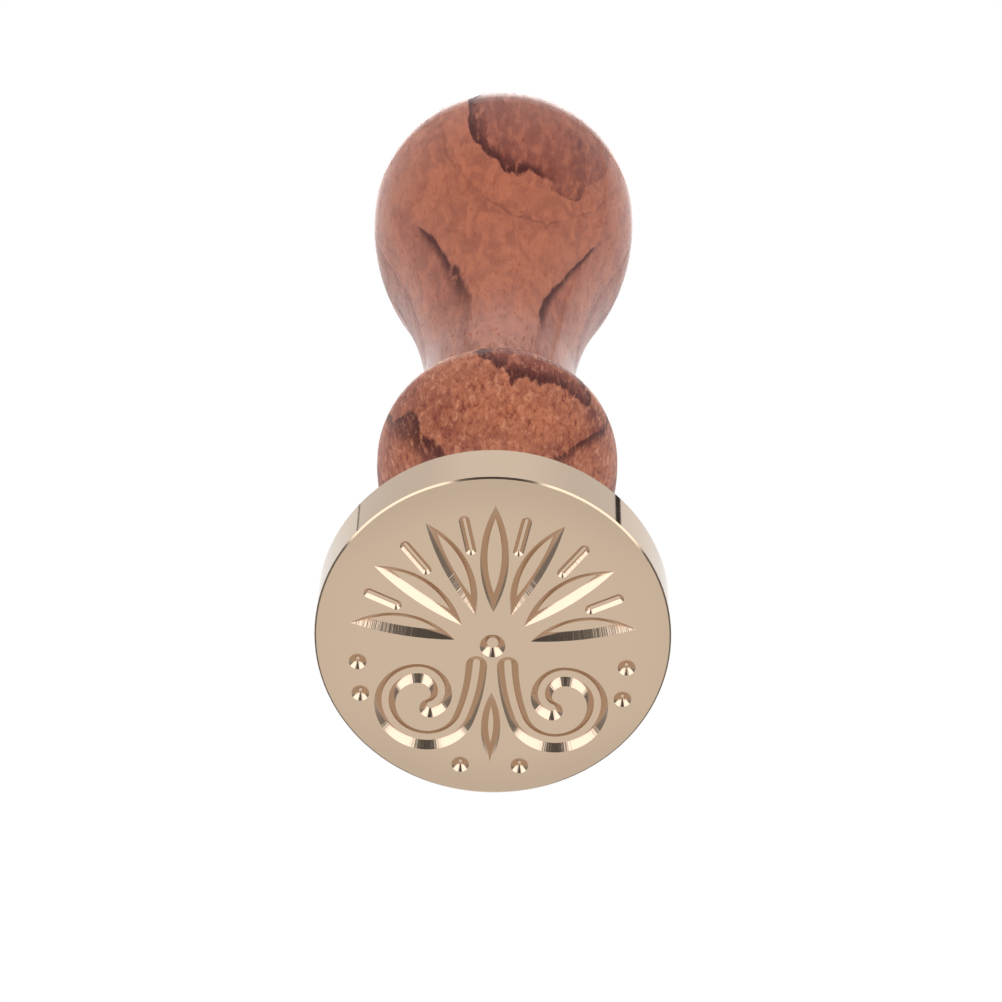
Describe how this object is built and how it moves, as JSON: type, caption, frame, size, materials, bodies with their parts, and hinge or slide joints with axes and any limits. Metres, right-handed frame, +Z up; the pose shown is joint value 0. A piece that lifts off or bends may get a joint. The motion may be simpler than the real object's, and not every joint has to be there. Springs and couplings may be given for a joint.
{
  "type": "wax seal stamp",
  "caption": "Hand stamp for sealing wax: a round engraved brass head that unscrews from a turned rosewood handle with a bead, a slim waist and a pear-shaped grip.",
  "frame": {"origin": "centre of the engraved face, on the surface that the stamp stands on", "axes": "+Z up along the stamp's axis from the seal face to the top of the handle; the engraved palmette points to -Y"},
  "size_m": [0.025, 0.025, 0.087],
  "materials": {
    "seal_brass": "pale polished brass",
    "stud_steel": "zinc plated",
    "sleeve_brass": "turned",
    "rosewood": "satin lacquer"
  },
  "bodies": {
    "head": {"seal_head": "seal_brass"},
    "sleeve": {"handle_insert": "sleeve_brass"},
    "handle": {"turned_handle": "rosewood", "threaded_stud": "stud_steel"}
  },
  "joints": [
    {"name": "handle_lift", "type": "slide", "parent": "head", "child": "sleeve", "axis": [0, 0, 1], "range_m": [0, 0.0075]},
    {"name": "handle_unscrew", "type": "hinge", "parent": "sleeve", "child": "handle", "pos_m": [0, 0, 0.0145], "axis": [0, 0, 1], "range_deg": [0, 2700]}
  ],
  "couplings": [
    {"joint": "handle_lift", "follows": "handle_unscrew", "m_per_rad": 0.00015915}
  ]
}
